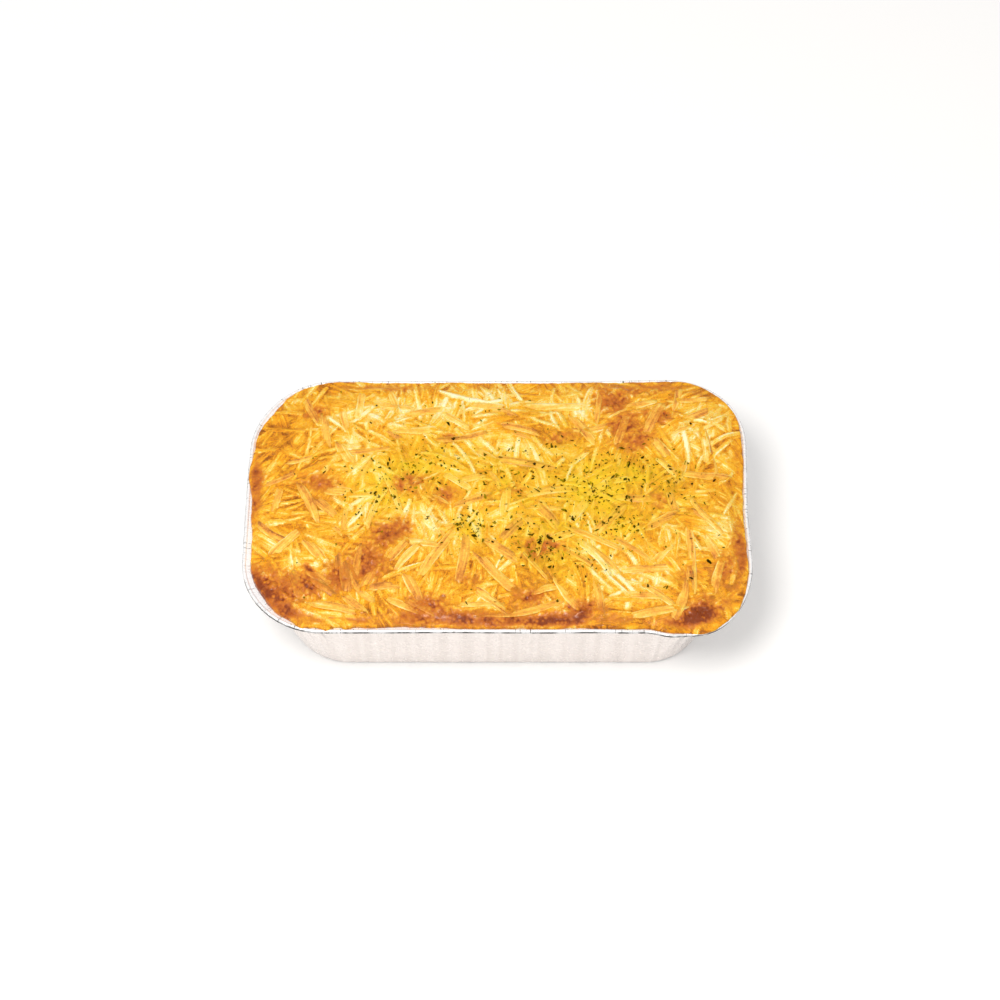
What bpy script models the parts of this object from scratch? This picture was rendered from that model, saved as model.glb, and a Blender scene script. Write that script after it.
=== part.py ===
"""A baked, cheese-topped meal in a pressed foil tray, modelled at real size in metres, +Z up.

The tray has a flat base with a raised panel, sloping walls that gather into pleats at the corners, a
stacking shoulder, and a flat flange with a rolled edge. The meal fills it from floor to flange, spills
a little over the flange, and is crowned with melted shreds of cheese and flecks of dried herb.
"""

import math
import random

import bmesh
import bpy
from mathutils import Vector, noise

MM = 0.001

# Outlines are rounded rectangles: length along X, width along Y, and corner radius
RIM = (200 * MM, 122 * MM, 33 * MM)
BASE = (164 * MM, 94 * MM, 23 * MM)
TRAY_HEIGHT = 46 * MM

# Pressed foil
FOIL = 0.5 * MM
FLANGE = 4.6 * MM
FLANGE_DROP = 0.6 * MM
ROLL = 1.7 * MM
SHOULDER = 1.2 * MM
SHOULDER_DROP = 6 * MM
NECK_DROP = 5 * MM
FOOT_WIDTH = 5 * MM
PANEL_LIFT = 0.6 * MM
PLEAT = 0.8 * MM

# Knocks in the rim: centre x, centre y, radius, lift
DENTS = (
    (64 * MM, -60 * MM, 7 * MM, -1.0 * MM),
    (86 * MM, -52 * MM, 17 * MM, -1.8 * MM),
    (84 * MM, 52 * MM, 22 * MM, 1.0 * MM),
    (-90 * MM, 44 * MM, 16 * MM, -0.7 * MM),
    (99 * MM, -4 * MM, 9 * MM, -0.8 * MM),
)
RIM_WAVE = 0.35 * MM
RIM_WAVE_PITCH = 34 * MM
FRONT_BOW = 1.2 * MM

# The meal
GAP = 0.3 * MM
SPILL_NEAREST = 2.1 * MM
SPILL_FURTHEST = 3.8 * MM
SPILL_PITCH = 17 * MM
EDGE_RISE = 0.8 * MM
EDGE_ROUND = 0.6 * MM
CROWN = 4.2 * MM
CROWN_RUN = 17 * MM
LUMP = 1.3 * MM
LUMP_PITCH = 27 * MM
KNOB = 0.6 * MM
KNOB_PITCH = 10 * MM
LUMP_FADE = 9 * MM

# Grid cells across a corner and along the straight of each side
CORNER_CELLS = 6
MEAL_CELLS = (22, 10)
TRAY_CELLS = (7, 3)

# Shreds that stand out: x, y, heading, length, width, bend, with the angles in degrees and the rest in
# millimetres. A positive bend bows the shred to the left of its heading.
LONG_SHREDS = (
    (25, 44, 2, 32, 3.2, 6),
    (0, -35, -49, 29, 3.2, -26),
    (10, 15, -13, 31, 2.8, 8),
    (-23, -27, -122, 30, 2.8, -10),
    (10, -51, 12, 38, 2.2, -22),
    (75, -28, -90, 32, 2.4, 10),
    (-14, -29, -98, 26, 2.8, 20),
    (64, -51, 18, 31, 2.2, -12),
    (35, 33, -56, 20, 3.2, 5),
    (45, -10, 50, 18, 3.2, -6),
    (-75, -3, -68, 21, 2.8, 12),
    (63, 39, 68, 18, 3.2, 8),
    (20, -10, -55, 17, 3.2, 6),
    (81, 11, -4, 25, 2.2, -14),
    (-33, -43, -65, 17, 2.8, 14),
    (-4, 45, -8, 17, 2.8, -12),
    (6, -16, 46, 17, 2.8, 4),
    (14, -31, -54, 23, 2.2, 3),
    (9, 32, -14, 19, 2.4, 20),
    (-30, 42, 12, 19, 2.4, 10),
    (38, -20, -26, 28, 1.9, 4),
    (65, -12, 29, 16, 2.8, 6),
    (27, -45, -56, 18, 2.4, -18),
    (-72, -25, -51, 13, 3.4, 5),
    (50, 33, 75, 18, 2.4, -6),
    (-10, -2, 18, 17, 2.4, 8),
    (65, 23, -56, 13, 3.2, 4),
    (54, -1, -4, 17, 2.4, -5),
    (-68, -5, -45, 14, 2.8, 6),
    (-69, -38, -36, 13, 3.2, 3),
    (86, -34, -110, 16, 2.4, -12),
    (83, 23, -84, 18, 2.2, 6),
    (-37, -50, -24, 15, 2.4, 7),
    (-56, 46, -96, 15, 2.4, 12),
    (2, 40, -20, 15, 2.4, 38),
    (-42, 1, -70, 26, 1.8, 16),
    (-55, -50, -43, 13, 2.4, 5),
    (80, 40, 31, 12, 2.8, -8),
    (-64, -50, -12, 15, 2.2, 9),
    (19, -43, 13, 12, 2.8, 5),
    (-52, -41, -58, 18, 1.9, -64),
    (-30, -51, -28, 17, 1.9, 8),
    (58, 46, 18, 13, 2.4, 6),
    (-16, 37, -38, 14, 2.2, -10),
    (73, 32, 31, 12, 2.4, 7),
    (82, -7, -52, 17, 1.8, -42),
    (-24, -2, -29, 13, 2.0, 9),
    (-16, 7, -31, 13, 2.0, 7),
    (-54, -31, -99, 16, 1.9, -16),
    (-61, -18, -46, 12, 2.0, 6),
)
FILL_SHREDS = 40
FILL_LENGTH = (12, 21)
FILL_WIDTH = (2.0, 3.0)
FILL_BEND = 26
FILL_SPACING = 15
SEGMENT_LENGTH = 7
SHRED_PROUD = (0.7 * MM, 1.5 * MM)
SHRED_SUNK = 1.1 * MM
SHRED_TAPER = 0.35
SHRED_EDGE_MARGIN = 6.5 * MM

# Herb flecks: centre x, centre y, spread, all in millimetres, and how many
HERB_DRIFTS = (
    (41, 9, 9, 9),
    (60, 8, 9, 6),
    (27, 2, 10, 7),
    (-12, -14, 9, 6),
    (20, -22, 8, 6),
    (-42, 6, 10, 6),
)
FLECK_LENGTH = (1.2 * MM, 1.9 * MM)
FLECK_WIDTH = 0.9 * MM
FLECK_PROUD = 0.35 * MM
FLECK_SUNK = 0.7 * MM

SEED = 7

# Colour, roughness, metallic
FOIL_FINISH = ((0.86, 0.86, 0.87, 1), 0.28, 1.0)
MEAL_FINISH = ((0.93, 0.60, 0.13, 1), 0.42, 0.0)


def clear_scene():
    for obj in list(bpy.data.objects):
        bpy.data.objects.remove(obj, do_unlink=True)


def inset(outline, by):
    """A rounded rectangle drawn in by the same amount all round."""
    length, width, corner = outline
    return (length - 2 * by, width - 2 * by, corner - by)


def between(first, second, share):
    """The outline that lies a share of the way from the first to the second."""
    return tuple(a + (b - a) * share for a, b in zip(first, second))


def depth_inside(outline, x, y):
    """How far a point lies inside a rounded rectangle, less than 0 outside it."""
    length, width, corner = outline
    out_x = abs(x) - length / 2 + corner
    out_y = abs(y) - width / 2 + corner
    beyond = math.hypot(max(out_x, 0), max(out_y, 0))
    return corner - beyond - min(max(out_x, out_y), 0)


def smooth_step(value):
    t = min(max(value, 0), 1)
    return t * t * (3 - 2 * t)


def grid_line(index, cells, length, corner):
    """Where a grid line lies along one side: corner cells at both ends, straight cells between them."""
    straight = length - 2 * corner
    if index < CORNER_CELLS:
        return -length / 2 + corner * index / CORNER_CELLS
    if index > CORNER_CELLS + cells:
        return -grid_line(2 * CORNER_CELLS + cells - index, cells, length, corner)
    return -straight / 2 + straight * (index - CORNER_CELLS) / cells


def on_outline_grid(column, row, cells, outline):
    """Where a grid point lies in a rounded rectangle: each corner square is drawn in to a quarter disc."""
    length, width, corner = outline
    x = grid_line(column, cells[0], length, corner)
    y = grid_line(row, cells[1], width, corner)
    straight_x = length / 2 - corner
    straight_y = width / 2 - corner
    a = (abs(x) - straight_x) / corner
    b = (abs(y) - straight_y) / corner
    if a > 0 and b > 0:
        x = math.copysign(straight_x + corner * a * math.sqrt(1 - b * b / 2), x)
        y = math.copysign(straight_y + corner * b * math.sqrt(1 - a * a / 2), y)
    return x, y


def is_fold(column, row, cells):
    """Whether a point of the outline is the inner fold of a corner pleat: every second one round the corner."""
    from_side = min(column, 2 * CORNER_CELLS + cells[0] - column)
    from_end = min(row, 2 * CORNER_CELLS + cells[1] - row)
    along = max(from_side, from_end)
    return along < CORNER_CELLS and along % 2 == 1


def dented(x, y, z):
    """A point moved by the tray's knocks, which leave the base alone and carry the meal's edge with them."""
    rise = smooth_step(z / TRAY_HEIGHT - 0.25)
    lift = RIM_WAVE * noise.noise(Vector((x, y, 0)) / RIM_WAVE_PITCH)
    for centre_x, centre_y, radius, height in DENTS:
        away = ((x - centre_x) ** 2 + (y - centre_y) ** 2) / (2 * radius * radius)
        lift += height * math.exp(-away)
    front = smooth_step(-2 * y / RIM[1])
    bow = FRONT_BOW * front * max(0, 1 - (2 * x / RIM[0]) ** 2)
    return Vector((x, y + bow * rise, z + lift * rise))


def wall(share):
    """The outside of the wall at a share of the way from the base to the shoulder."""
    return between(BASE, inset(RIM, FLANGE + SHOULDER), share)


def tray_rings():
    """The tray's section, from the middle of its underside round the rolled edge to the middle of its floor.

    Each ring is an outline, its height, and how deep the corner pleats are there.
    """
    top = TRAY_HEIGHT
    shoulder = top - SHOULDER_DROP
    neck = inset(RIM, FLANGE)
    shares = (0.3, 0.65, 1.0)
    outside = [
        (inset(BASE, FOOT_WIDTH + PANEL_LIFT), PANEL_LIFT, 0),
        (inset(BASE, FOOT_WIDTH), 0, 0),
        (inset(BASE, 1.4 * MM), 0, 0),
        (BASE, 1.6 * MM, 0),
    ]
    outside += [(wall(s), s * shoulder, s * PLEAT) for s in shares]
    outside += [
        (neck, top - NECK_DROP, PLEAT),
        (neck, top - FLANGE_DROP - FOIL, PLEAT / 2),
        (inset(RIM, ROLL), top - FLANGE_DROP - FOIL, 0),
        (inset(RIM, 0.7 * ROLL), top - ROLL, 0),
        (inset(RIM, 0.3 * ROLL), top - ROLL, 0),
        (RIM, top - 0.55 * ROLL, 0),
        (inset(RIM, 0.25 * ROLL), top - 0.08 * ROLL, 0),
        (inset(RIM, 0.6 * ROLL), top, 0),
        (inset(RIM, ROLL + 0.1 * MM), top - FLANGE_DROP, 0),
    ]
    inside = [
        (inset(neck, FOIL), top - FLANGE_DROP, PLEAT / 2),
        (inset(neck, FOIL), top - NECK_DROP + 0.2 * MM, PLEAT),
    ]
    inside += [(inset(wall(s), FOIL), s * shoulder + 0.2 * MM, s * PLEAT) for s in reversed(shares)]
    inside += [
        (inset(BASE, FOIL), 1.9 * MM, 0),
        (inset(BASE, 1.6 * MM), FOIL, 0),
        (inset(BASE, FOOT_WIDTH), FOIL, 0),
        (inset(BASE, FOOT_WIDTH + PANEL_LIFT), PANEL_LIFT + FOIL, 0),
    ]
    return outside + inside


def ring_place(column, row, cells, ring):
    """Where a point of the grid's border lies on a ring, drawn in at the folds of the corner pleats."""
    outline, height, pleat = ring
    depth = pleat if is_fold(column, row, cells) else 0
    x, y = on_outline_grid(column, row, cells, inset(outline, depth))
    return dented(x, y, height)


def border_grid(cells):
    """A flat grid whose points know their column and row, as (bmesh, column and row by vertex)."""
    columns = 2 * CORNER_CELLS + cells[0]
    rows = 2 * CORNER_CELLS + cells[1]
    bm = bmesh.new()
    bmesh.ops.create_grid(bm, x_segments=columns, y_segments=rows, size=1)
    spots = {}
    for vert in bm.verts:
        spots[vert] = (round((vert.co.x + 1) / 2 * columns), round((vert.co.y + 1) / 2 * rows))
    return bm, spots


def border_edges(bm):
    return [edge for edge in bm.edges if edge.is_boundary]


def grow_ring(bm, spots, cells, edges, ring):
    """Extrudes an open border to the next ring of the section, and gives the new border."""
    old = {}
    for edge in edges:
        for vert in edge.verts:
            old[vert.co.copy().freeze()] = spots[vert]
    made = bmesh.ops.extrude_edge_only(bm, edges=edges)["geom"]
    for vert in [item for item in made if isinstance(item, bmesh.types.BMVert)]:
        column, row = old[vert.co.copy().freeze()]
        spots[vert] = (column, row)
        vert.co = ring_place(column, row, cells, ring)
    return [item for item in made if isinstance(item, bmesh.types.BMEdge)]


def finish_mesh(bm, name):
    bmesh.ops.triangulate(bm, faces=bm.faces)
    bmesh.ops.recalc_face_normals(bm, faces=bm.faces)
    mesh = bpy.data.meshes.new(name)
    bm.to_mesh(mesh)
    bm.free()
    return mesh


def add_object(name, mesh, collection=None):
    obj = bpy.data.objects.new(name, mesh)
    (collection or bpy.context.scene.collection).objects.link(obj)
    return obj


def material(name, finish):
    colour, roughness, metallic = finish
    made = bpy.data.materials.new(name)
    made.use_nodes = True
    shader = made.node_tree.nodes["Principled BSDF"]
    shader.inputs["Base Color"].default_value = colour
    shader.inputs["Roughness"].default_value = roughness
    shader.inputs["Metallic"].default_value = metallic
    return made


def foil_tray():
    """The pressed foil tray: one skin that runs from the underside over the rolled edge to the floor."""
    rings = tray_rings()
    bm, spots = border_grid(TRAY_CELLS)
    inner = [vert for vert in bm.verts if not vert.is_boundary]
    bmesh.ops.delete(bm, geom=inner, context="VERTS")
    bmesh.ops.delete(bm, geom=bm.faces[:], context="FACES_ONLY")
    for vert in bm.verts:
        vert.co = ring_place(*spots[vert], TRAY_CELLS, rings[0])
    edges = bm.edges[:]
    bmesh.ops.contextual_create(bm, geom=edges)
    for ring in rings[1:]:
        edges = grow_ring(bm, spots, TRAY_CELLS, edges, ring)
    bmesh.ops.contextual_create(bm, geom=edges)
    tray = add_object("foil_tray", finish_mesh(bm, "foil_tray"))
    tray.data.materials.append(material("pressed_foil", FOIL_FINISH))
    return tray


def melted_height(x, y):
    """The height of the melted top: a low crown, with lumps that fade out towards the rim."""
    depth = max(depth_inside(RIM, x, y) - SPILL_NEAREST, 0)
    crown = CROWN * (1 - math.exp(-depth / CROWN_RUN))
    lumps = LUMP * noise.noise(Vector((x, y, 0)) / LUMP_PITCH)
    knobs = KNOB * noise.noise(Vector((x, y, 0.05)) / KNOB_PITCH)
    fade = smooth_step(depth / LUMP_FADE)
    return TRAY_HEIGHT + EDGE_RISE + crown + (lumps + knobs) * fade


def spill_inset(x, y):
    """How far inside the rim the meal's uneven edge stops."""
    share = 0.5 + 0.5 * noise.noise(Vector((x, y, 0.3)) / SPILL_PITCH)
    return SPILL_NEAREST + (SPILL_FURTHEST - SPILL_NEAREST) * share


def meal_rings():
    """The meal's side from above the flange down to its flat bottom, clear of the tray by the gap."""
    neck = inset(RIM, FLANGE + FOIL + GAP)
    over_flange = TRAY_HEIGHT - FLANGE_DROP + GAP
    shoulder = TRAY_HEIGHT - SHOULDER_DROP
    low = 0.1
    return [
        (neck, over_flange, PLEAT / 2),
        (neck, TRAY_HEIGHT - NECK_DROP + 0.2 * MM + GAP, PLEAT),
        (inset(wall(1), FOIL + GAP), shoulder + 0.2 * MM + GAP, PLEAT),
        (inset(wall(low), FOIL + 2 * GAP), low * shoulder, low * PLEAT),
        (inset(BASE, 2 * MM), PANEL_LIFT + FOIL + GAP, 0),
    ]


def meal_core():
    """The melted top as a grid, with its edge rolled over the flange and its side run down into the tray."""
    cells = MEAL_CELLS
    bm, spots = border_grid(cells)
    edge_inset = {}
    for vert in bm.verts:
        x, y = on_outline_grid(*spots[vert], cells, RIM)
        drawn_in = spill_inset(x, y) if vert.is_boundary else SPILL_FURTHEST
        if vert.is_boundary:
            edge_inset[spots[vert]] = drawn_in
        x, y = on_outline_grid(*spots[vert], cells, inset(RIM, drawn_in + EDGE_ROUND))
        vert.co = dented(x, y, melted_height(x, y))
    edges = border_edges(bm)
    over_flange = TRAY_HEIGHT - FLANGE_DROP + GAP
    for height in (TRAY_HEIGHT + EDGE_ROUND / 2, over_flange):
        edges = grow_ring(bm, spots, cells, edges, (RIM, height, 0))
        for vert in {vert for edge in edges for vert in edge.verts}:
            spot = spots[vert]
            x, y = on_outline_grid(*spot, cells, inset(RIM, edge_inset[spot]))
            vert.co = dented(x, y, height)
    for ring in meal_rings():
        edges = grow_ring(bm, spots, cells, edges, ring)
    bmesh.ops.contextual_create(bm, geom=edges)
    return add_object("baked_meal", finish_mesh(bm, "baked_meal"))


def fill_shreds(rng):
    """Shreds for the places that the long ones leave bare, kept apart from them and from each other."""
    made = []
    taken = [(row[0], row[1]) for row in LONG_SHREDS]
    while len(made) < FILL_SHREDS:
        x = rng.uniform(-88, 88)
        y = rng.uniform(-49, 49)
        heading = rng.uniform(0, 180)
        length = rng.uniform(*FILL_LENGTH)
        width = rng.uniform(*FILL_WIDTH)
        bend = rng.uniform(-FILL_BEND, FILL_BEND)
        spacing = FILL_SPACING * (1 - len(made) / (2 * FILL_SHREDS))
        if any(math.hypot(x - a, y - b) < spacing * 0.8 for a, b in taken):
            continue
        taken.append((x, y))
        made.append((x, y, heading, length, width, bend))
    return made


def shred(collection, row, rng):
    """One shred of cheese: a bar that bends, tapers at both ends and follows the melted top."""
    x, y, heading, length, width, bend = row
    proud = rng.uniform(*SHRED_PROUD)
    along = Vector((math.cos(math.radians(heading)), math.sin(math.radians(heading)), 0))
    across = Vector((-along.y, along.x, 0))
    middle = Vector((x, y, 0)) * MM
    cuts = round(length / SEGMENT_LENGTH)
    length *= MM
    width *= MM
    sagitta = length * math.tan(math.radians(bend) / 4) / 2
    bm = bmesh.new()
    bmesh.ops.create_cube(bm, size=1)
    lengthwise = [e for e in bm.edges if abs(e.verts[0].co.x - e.verts[1].co.x) > 0.5]
    bmesh.ops.subdivide_edges(bm, edges=lengthwise, cuts=cuts, use_grid_fill=True)
    for vert in bm.verts:
        share, side, level = vert.co
        taper = 1 - SHRED_TAPER * abs(2 * share) ** 3
        slope = math.atan2(-8 * share * sagitta, length)
        turned = across * math.cos(slope) - along * math.sin(slope)
        spine = middle + along * (share * length) + across * (sagitta * (1 - 4 * share * share))
        place = spine + turned * (side * width * taper)
        room = depth_inside(RIM, place.x, place.y)
        if room < SHRED_EDGE_MARGIN:
            inward = Vector((place.x, place.y, 0)).normalized() * (SHRED_EDGE_MARGIN - room)
            place -= inward
        top = melted_height(spine.x, spine.y) + proud * taper
        bottom = melted_height(place.x, place.y) - SHRED_SUNK
        vert.co = dented(place.x, place.y, top if level > 0 else bottom)
    add_object("shred", finish_mesh(bm, "shred"), collection)


def herb_fleck(collection, x, y, rng):
    """One fleck of dried herb, a small flat chip that lies a little into the cheese."""
    turn = rng.uniform(0, math.pi)
    length = rng.uniform(*FLECK_LENGTH)
    bm = bmesh.new()
    bmesh.ops.create_cube(bm, size=1)
    for vert in bm.verts:
        a = vert.co.x * length
        b = vert.co.y * FLECK_WIDTH
        px = x + a * math.cos(turn) - b * math.sin(turn)
        py = y + a * math.sin(turn) + b * math.cos(turn)
        height = melted_height(px, py) + (FLECK_PROUD if vert.co.z > 0 else -FLECK_SUNK)
        vert.co = dented(px, py, height)
    add_object("fleck", finish_mesh(bm, "fleck"), collection)


def toppings(rng):
    """The shreds and flecks that show, as loose pieces in one collection."""
    collection = bpy.data.collections.new("toppings")
    bpy.context.scene.collection.children.link(collection)
    for row in list(LONG_SHREDS) + fill_shreds(rng):
        shred(collection, row, rng)
    for x, y, spread, count in HERB_DRIFTS:
        for _ in range(count):
            fleck_x = rng.gauss(x, spread) * MM
            fleck_y = rng.gauss(y, spread) * MM
            herb_fleck(collection, fleck_x, fleck_y, rng)
    return collection


def apply_modifiers(obj):
    graph = bpy.context.evaluated_depsgraph_get()
    mesh = bpy.data.meshes.new_from_object(obj.evaluated_get(graph))
    obj.modifiers.clear()
    obj.data = mesh


def keep_largest_body(obj):
    """Drops what the union seals in or leaves loose: every shell but the one with the most faces."""
    bm = bmesh.new()
    bm.from_mesh(obj.data)
    unseen = set(bm.faces)
    shells = []
    while unseen:
        start = unseen.pop()
        shell = [start]
        waiting = [start]
        while waiting:
            face = waiting.pop()
            for edge in face.edges:
                for other in edge.link_faces:
                    if other in unseen:
                        unseen.remove(other)
                        shell.append(other)
                        waiting.append(other)
        shells.append(shell)
    shells.sort(key=len)
    loose = [face for shell in shells[:-1] for face in shell]
    bmesh.ops.delete(bm, geom=loose, context="FACES")
    bm.to_mesh(obj.data)
    bm.free()


def baked_meal():
    """The whole meal as one solid: the core with its shreds and herb flecks fused on."""
    rng = random.Random(SEED)
    meal = meal_core()
    collection = toppings(rng)
    union = meal.modifiers.new("fuse_toppings", "BOOLEAN")
    union.operation = "UNION"
    union.operand_type = "COLLECTION"
    union.collection = collection
    union.solver = "MANIFOLD"
    bpy.context.view_layer.update()
    apply_modifiers(meal)
    for obj in list(collection.objects):
        bpy.data.objects.remove(obj, do_unlink=True)
    bpy.data.collections.remove(collection)
    keep_largest_body(meal)
    meal.data.materials.clear()
    meal.data.materials.append(material("baked_cheese", MEAL_FINISH))
    return meal


def main():
    clear_scene()
    foil_tray()
    baked_meal()


main()
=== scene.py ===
"""The look of a baked, cheese-topped meal in a pressed foil tray.

Lengths are in millimetres until a mesh is written, which is in metres.
"""

import math
import random
from collections import namedtuple

import bmesh
import bpy
import numpy as np
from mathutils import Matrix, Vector, noise


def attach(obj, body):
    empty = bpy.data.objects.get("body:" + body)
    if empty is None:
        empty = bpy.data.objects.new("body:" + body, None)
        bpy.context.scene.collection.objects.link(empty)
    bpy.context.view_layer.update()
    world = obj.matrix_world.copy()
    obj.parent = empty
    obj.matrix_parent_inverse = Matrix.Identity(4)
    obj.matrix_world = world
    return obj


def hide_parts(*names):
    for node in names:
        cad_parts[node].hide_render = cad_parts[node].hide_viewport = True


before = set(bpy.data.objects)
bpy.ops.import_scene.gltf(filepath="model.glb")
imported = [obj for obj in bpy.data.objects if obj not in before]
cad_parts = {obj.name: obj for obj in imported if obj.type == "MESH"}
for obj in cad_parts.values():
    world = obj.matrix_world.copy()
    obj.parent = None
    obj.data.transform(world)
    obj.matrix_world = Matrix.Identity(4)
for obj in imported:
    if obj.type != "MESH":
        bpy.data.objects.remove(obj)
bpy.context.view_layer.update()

MM = 0.001

# Outlines are rounded rectangles: length along X, width along Y, and corner radius
RIM = (200.0, 122.0, 33.0)
BASE = (164.0, 94.0, 23.0)
TRAY_HEIGHT = 46.0

# Pressed foil
FOIL = 0.5
FLANGE = 4.6
FLANGE_DROP = 0.6
ROLL = 1.7
SHOULDER = 1.2
SHOULDER_DROP = 6.0
NECK_DROP = 5.0
FOOT_WIDTH = 5.0
PANEL_LIFT = 0.6
PLEAT = 0.8
PLEATS_PER_CORNER = 6
FLUTE_PITCH = 4.9
FLUTE_DEPTH = 0.13
CREASE = 0.3
CRIMP = 0.16
CRIMP_PITCH = 2.9

# Knocks in the rim: centre x, centre y, radius, lift, and how far they push the rim along x and y
DENTS = (
    (58, -61, 3.4, -1.6, 0, 1.6),
    (66, -61, 3.0, 0.7, 0, -0.9),
    (73, -60, 3.4, -1.6, 0, 1.4),
    (84, -52, 14, -2.4, 0.9, -3.2),
    (84, 50, 18, 1.0, 1.8, 0.6),
    (-88, 42, 14, -0.7, 1.4, -0.6),
    (99, -4, 9, -0.8, -0.6, 0),
)
RIM_WAVE = 0.35
RIM_WAVE_PITCH = 34.0

# The melted top
GAP = 0.3
SPILL_USUAL = 1.5
SPILL_NEAREST = 0.3
SPILL_FURTHEST = 4.2
SPILL_WAVE = 0.7
SPILL_PITCH = 13.0
EDGE_RISE = 0.5
EDGE_ROUND = 0.6
EDGE_RINGS = 5
SUNK = 0.12
CROWN = 4.2
CROWN_RUN = 17.0
LUMP = 1.3
LUMP_PITCH = 27.0
KNOB = 0.6
KNOB_PITCH = 10.0
LUMP_FADE = 9.0

# Cells across a corner, and along the straight of each side
MEAL_CELLS = (56, 252, 104)
TRAY_CELLS = (52, 180, 76)
RASTER_STEP = 0.25

# Where the cheese stops short of the rim or reaches over it: x, y, reach, and how much further in
SPILL_SPOTS = (
    (-92, -40, 26, 2.1),
    (-100, -8, 18, 1.0),
    (-99, 13, 8, -1.3),
    (-90, 42, 14, 1.8),
    (0, 61, 46, 0.5),
    (90, -46, 16, -0.9),
    (100, -8, 26, 0.5),
    (-40, -61, 16, 0.9),
    (-76, -59, 3, -1.8),
    (-66, -61, 2.4, -1.6),
    (-58, -61, 2, -1.4),
    (80, -59, 8, -0.7),
)

# Shreds that stand out: x, y, heading, length, width, bend, and how golden, from 0 pale to 1 toasted
Shred = namedtuple("Shred", "x y heading length width bend tone")
LONG_SHREDS = (
    (25, 44, 2, 32, 3.2, 6, 0.12),
    (0, -35, -49, 29, 3.2, -26, 0.5),
    (10, 15, -13, 31, 2.8, 8, 0.74),
    (-23, -27, -122, 30, 2.8, -10, 0.55),
    (10, -51, 12, 38, 2.2, -22, 0.5),
    (75, -28, -90, 32, 2.4, 10, 0.48),
    (-14, -29, -98, 26, 2.8, 20, 0.66),
    (62, -51, 18, 27, 2.2, -12, 0.3),
    (35, 33, -56, 20, 3.2, 5, 0.42),
    (45, -10, 50, 18, 3.2, -6, 0.78),
    (-75, -3, -68, 21, 2.8, 12, 0.5),
    (63, 39, 68, 18, 3.2, 8, 0.5),
    (20, -10, -55, 17, 3.2, 6, 0.72),
    (81, 11, -4, 25, 2.2, -14, 0.5),
    (-33, -43, -65, 17, 2.8, 14, 0.42),
    (-4, 45, -8, 17, 2.8, -12, 0.2),
    (6, -16, 46, 17, 2.8, 4, 0.78),
    (14, -31, -54, 23, 2.2, 3, 0.5),
    (9, 32, -14, 19, 2.4, 20, 0.55),
    (-30, 42, 12, 19, 2.4, 10, 0.45),
    (38, -20, -26, 28, 1.9, 4, 0.42),
    (65, -12, 29, 16, 2.8, 6, 0.74),
    (27, -45, -56, 18, 2.4, -18, 0.4),
    (-72, -25, -51, 13, 3.4, 5, 0.55),
    (50, 33, 75, 18, 2.4, -6, 0.62),
    (-10, -2, 18, 17, 2.4, 8, 0.8),
    (65, 23, -56, 13, 3.2, 4, 0.5),
    (54, -1, -4, 17, 2.4, -5, 0.85),
    (-68, -5, -45, 14, 2.8, 6, 0.5),
    (-69, -38, -36, 13, 3.2, 3, 0.62),
    (86, -34, -110, 16, 2.4, -12, 0.15),
    (83, 23, -84, 18, 2.2, 6, 0.2),
    (-37, -50, -24, 15, 2.4, 7, 0.25),
    (-56, 46, -96, 15, 2.4, 12, 0.35),
    (2, 40, -20, 15, 2.4, 38, 0.55),
    (-42, 1, -70, 26, 1.8, 16, 0.3),
    (-55, -50, -43, 13, 2.4, 5, 0.5),
    (80, 40, 31, 12, 2.8, -8, 0.7),
    (-63, -51, -13, 21, 3.0, 9, 0.42),
    (19, -43, 13, 12, 2.8, 5, 0.4),
    (-52, -41, -58, 18, 1.9, -64, 0.55),
    (-30, -51, -28, 17, 1.9, 8, 0.78),
    (58, 46, 18, 13, 2.4, 6, 0.5),
    (-16, 37, -38, 14, 2.2, -10, 0.2),
    (73, 32, 31, 12, 2.4, 7, 0.55),
    (82, -7, -52, 17, 1.8, -42, 0.3),
    (-24, -2, -29, 13, 2.0, 9, 0.25),
    (-16, 7, -31, 13, 2.0, 7, 0.3),
    (-54, -31, -99, 16, 1.9, -16, 0.7),
    (-61, -18, -46, 12, 2.0, 6, 0.3),
    (-78, -41, -75, 13, 2.8, 8, 0.9),
    (-68, -42, -38, 15, 2.6, 10, 0.86),
    (-62, -32, -85, 12, 2.2, 4, 0.95),
    (-58.5, -37.5, -88, 14, 3.8, 4, 0.66),
    (-50.5, -39, 64, 13, 2.4, -6, 0.5),
)
FILL_SHREDS = 40
FILL_LENGTH = (12, 21)
FILL_WIDTH = (2.0, 3.0)
FILL_BEND = 26
FILL_SPACING = 15
FILL_SEED = 7

# Small shreds: spacing, length, width, how golden, and bend
SMALL_SHREDS = (22, (10, 24), (1.4, 2.4), (0.05, 0.7), 42)
SMALL_SEED = 77
SMALL_MARGIN = 9

# The direction that shreds tend to lie in: how much it turns over the meal, over what distance,
# and how far single shreds stray from it, in degrees
FLOW_TURN = 210
FLOW_PITCH = 38
FLOW_SPREAD = 34

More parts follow.
